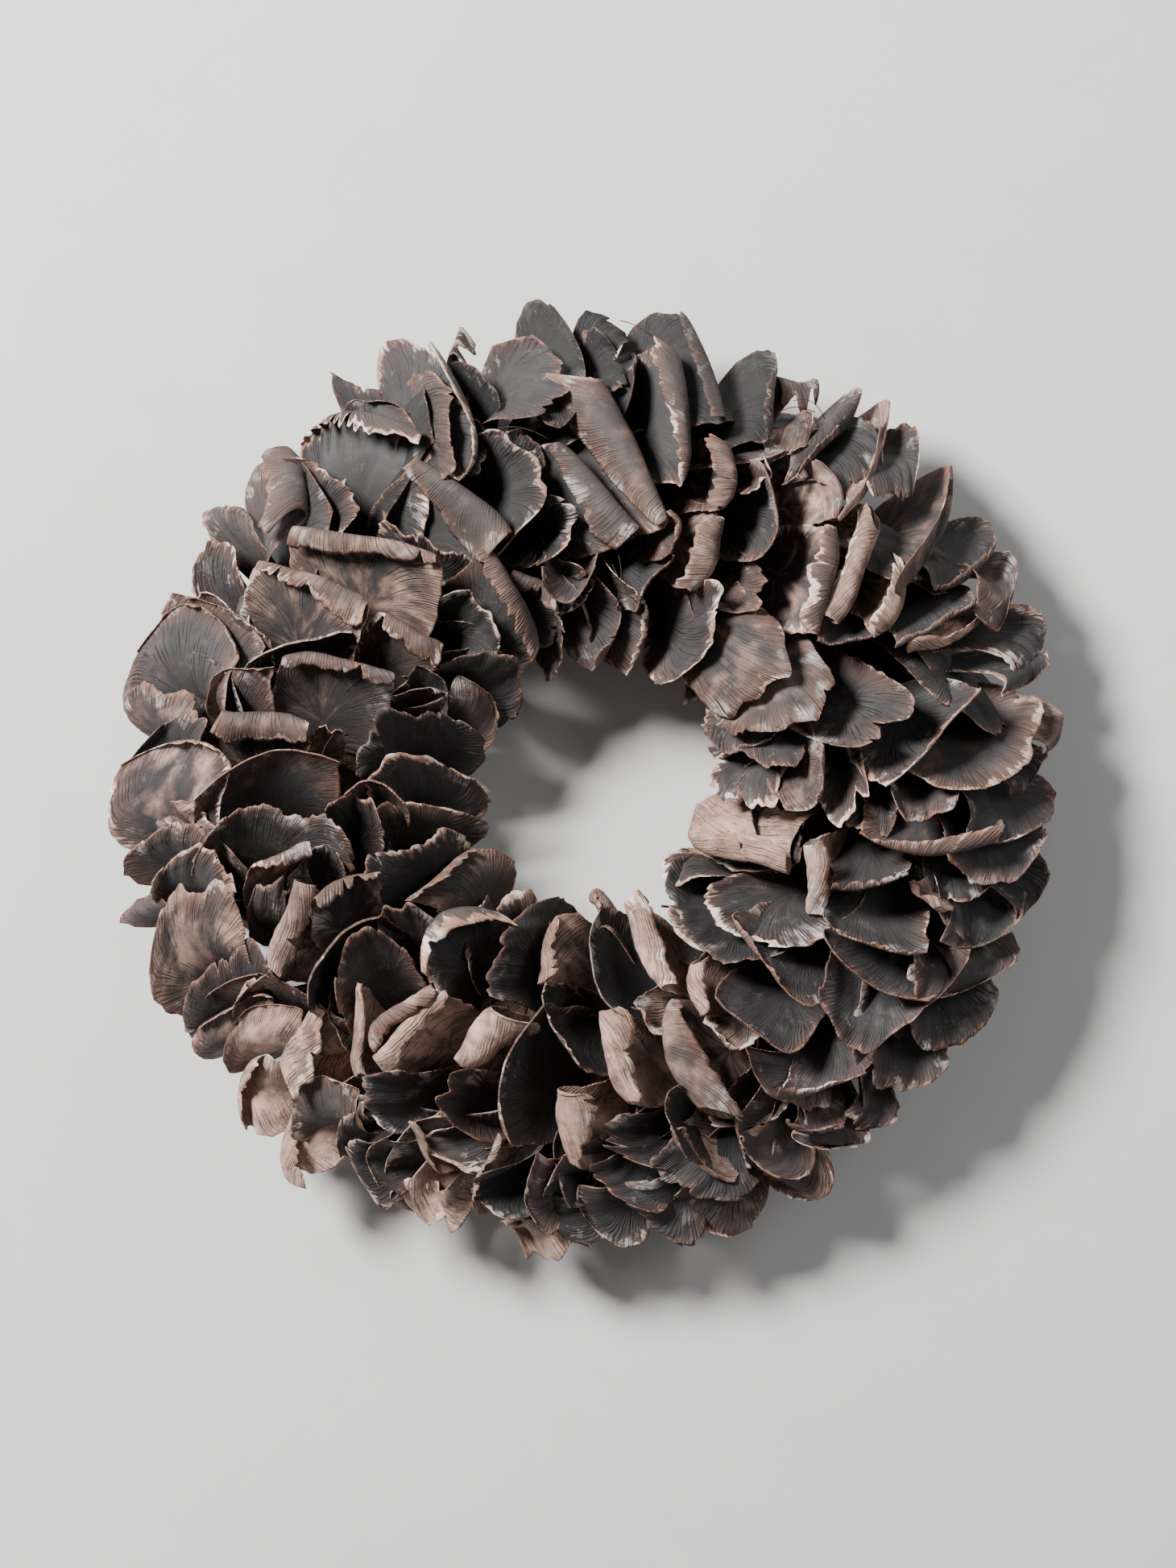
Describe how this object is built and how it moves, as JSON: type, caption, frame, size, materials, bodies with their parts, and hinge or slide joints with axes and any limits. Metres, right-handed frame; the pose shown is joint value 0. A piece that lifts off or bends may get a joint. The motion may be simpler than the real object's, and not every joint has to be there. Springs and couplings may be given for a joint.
{
  "type": "dried petal wreath",
  "caption": "Round wreath of dried, curled palm petals that overlap like shingles round a straw ring, with an open middle.",
  "frame": {"origin": "on the ground, under the middle of the wreath's box", "axes": "+Z out of the petal side, which faces up as the wreath lies on its back; +Y towards twelve o'clock and +X towards three o'clock as it is seen"},
  "size_m": [0.4502, 0.451, 0.1098],
  "materials": {
    "palm_petal": "dry, papery and matte, grey to brown",
    "straw": "dry straw bound with twine"
  },
  "bodies": {
    "root": {"straw_ring": "straw", "petals_01": "palm_petal", "petals_02": "palm_petal", "petals_03": "palm_petal", "petals_04": "palm_petal", "petals_05": "palm_petal", "petals_06": "palm_petal", "petals_07": "palm_petal", "petals_08": "palm_petal", "petals_09": "palm_petal", "petals_10": "palm_petal", "petals_11": "palm_petal", "petals_12": "palm_petal"}
  },
  "joints": []
}
